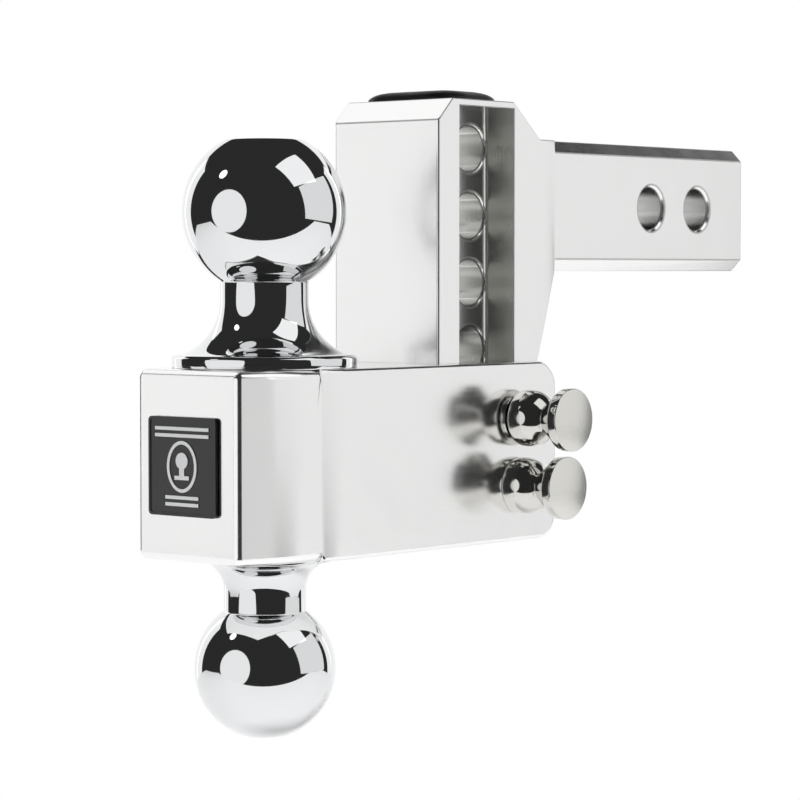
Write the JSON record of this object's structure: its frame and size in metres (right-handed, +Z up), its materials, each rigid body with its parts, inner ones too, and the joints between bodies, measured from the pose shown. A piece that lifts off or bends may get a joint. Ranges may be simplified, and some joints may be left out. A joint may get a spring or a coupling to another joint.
{
  "type": "trailer hitch ball mount",
  "caption": "Adjustable drop hitch: square receiver shank, upright column with a row of pin holes, and a pinned mount with a larger ball above and a smaller ball below.",
  "frame": {"origin": "centre of the front hitch-pin bore, on the shank's axis", "axes": "+X along the shank toward the vehicle, +Y along the hitch-pin bores toward the vehicle's left, +Z up"},
  "size_m": [0.3101, 0.1132, 0.2342],
  "materials": {
    "polished_aluminium": "machined and buffed bright",
    "chromed_steel": "mirror chrome over forged steel",
    "polished_steel": "turned and polished stainless steel",
    "spring_steel": "zinc-plated spring wire",
    "black_plastic": "fine moulded grain",
    "black_badge": "satin black enamel",
    "badge_metal": "satin",
    "foam_adhesive": "closed-cell foam tape"
  },
  "bodies": {
    "drawbar": {"drawbar": "polished_aluminium", "column_top_plug": "black_plastic"},
    "ball_mount": {"ball_mount": "polished_aluminium", "upper_ball": "chromed_steel", "lower_ball": "chromed_steel", "plate_adhesive": "foam_adhesive", "name_plate": "black_badge", "name_plate_emblem": "badge_metal"},
    "upper_pin": {"upper_pin": "polished_steel"},
    "upper_pin_clip": {"upper_pin_clip": "spring_steel"},
    "lower_pin": {"lower_pin": "polished_steel"},
    "lower_pin_clip": {"lower_pin_clip": "spring_steel"}
  },
  "joints": [
    {"name": "mount_slack", "type": "slide", "parent": "drawbar", "child": "ball_mount", "axis": [0, 0, 1], "range_m": [-0.0007, 0.0007]},
    {"name": "upper_pin_slide", "type": "slide", "parent": "ball_mount", "child": "upper_pin", "axis": [0, -1, 0], "range_m": [-0.0025, 0.0042]},
    {"name": "upper_clip_pull", "type": "slide", "parent": "upper_pin", "child": "upper_pin_clip", "axis": [1, 0, 0], "range_m": [0, 0.034], "deforming": ["upper_pin_clip"]},
    {"name": "lower_pin_slide", "type": "slide", "parent": "ball_mount", "child": "lower_pin", "axis": [0, -1, 0], "range_m": [0, 0.0068]},
    {"name": "lower_clip_pull", "type": "slide", "parent": "lower_pin", "child": "lower_pin_clip", "axis": [1, 0, 0], "range_m": [0, 0.034], "deforming": ["lower_pin_clip"]}
  ]
}
